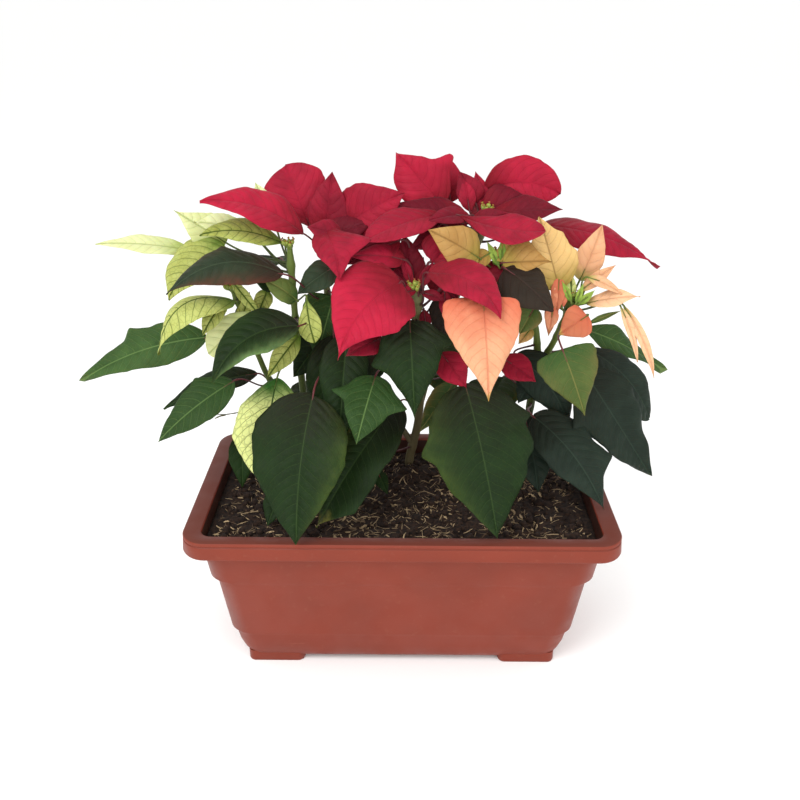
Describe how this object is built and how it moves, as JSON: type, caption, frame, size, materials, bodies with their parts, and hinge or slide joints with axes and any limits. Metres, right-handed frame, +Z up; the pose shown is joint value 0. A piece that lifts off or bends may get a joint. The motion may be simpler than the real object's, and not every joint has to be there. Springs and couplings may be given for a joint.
{
  "type": "poinsettia in a planter",
  "caption": "Cream, red and peach poinsettia plants with veined leaves and coloured bracts, growing together in a rectangular planter with a rolled rim and feet.",
  "frame": {"origin": "on the ground under the middle of the whole object, foliage included", "axes": "+X along the planter to the right, +Y away from the planter's front, +Z up"},
  "size_m": [0.5856, 0.2352, 0.4757],
  "materials": {
    "terracotta_plastic": "satin",
    "soil": "matte",
    "brown_stem": "matte",
    "green_stem": "matte",
    "flower_bud": "satin",
    "cream_bract": "satin",
    "green_leaf": "satin",
    "bronze_leaf": "satin",
    "red_bract": "satin",
    "peach_bract": "satin"
  },
  "bodies": {
    "root": {"planter": "terracotta_plastic", "potting_soil": "soil", "red_plant_stem": "brown_stem", "cream_plant_stem": "green_stem", "peach_plant_stem": "green_stem", "red_front_flower": "flower_bud", "red_left_flower": "flower_bud", "red_right_flower": "flower_bud", "cream_main_flower": "flower_bud", "cream_side_flower": "flower_bud", "peach_main_flower": "flower_bud", "peach_side_flower": "flower_bud", "cream_bract_top": "cream_bract", "cream_bract_fan": "cream_bract", "cream_bract_upright": "cream_bract", "cream_bract_far_left": "cream_bract", "cream_bract_arched": "cream_bract", "cream_bract_cupped": "cream_bract", "cream_bract_hanging": "cream_bract", "cream_leaf_variegated": "cream_bract", "leaf_left_shoulder": "green_leaf", "leaf_left_low": "green_leaf", "leaf_left_dark": "green_leaf", "leaf_far_left": "green_leaf", "leaf_front_left": "green_leaf", "leaf_centre_left": "green_leaf", "leaf_front_inner": "green_leaf", "leaf_centre_small": "green_leaf", "leaf_centre_lobed": "green_leaf", "leaf_front_right": "green_leaf", "leaf_right_upper": "green_leaf", "leaf_right_lower": "green_leaf", "leaf_right_inner": "green_leaf", "leaf_right_narrow": "green_leaf", "leaf_corner_dark": "green_leaf", "leaf_soil_left": "green_leaf", "leaf_olive": "green_leaf", "leaf_back_left": "green_leaf", "leaf_back_right": "green_leaf", "leaf_back_centre": "green_leaf", "leaf_bronze_left": "bronze_leaf", "leaf_bronze_right": "bronze_leaf", "red_bract_left_wing": "red_bract", "red_bract_left_upright": "red_bract", "red_bract_left_inner": "red_bract", "red_bract_left_lobed": "red_bract", "red_bract_top_pointed": "red_bract", "red_bract_top_round": "red_bract", "red_bract_top_front": "red_bract", "red_bract_top_left": "red_bract", "red_bract_front_large": "red_bract", "red_bract_front_right": "red_bract", "red_bract_right_wing": "red_bract", "red_bract_back_right": "red_bract", "red_bract_back_left": "red_bract", "peach_bract_upright": "peach_bract", "peach_bract_back": "peach_bract", "peach_bract_narrow": "peach_bract", "peach_bract_tan": "peach_bract", "peach_bract_front_large": "peach_bract"}
  },
  "joints": []
}
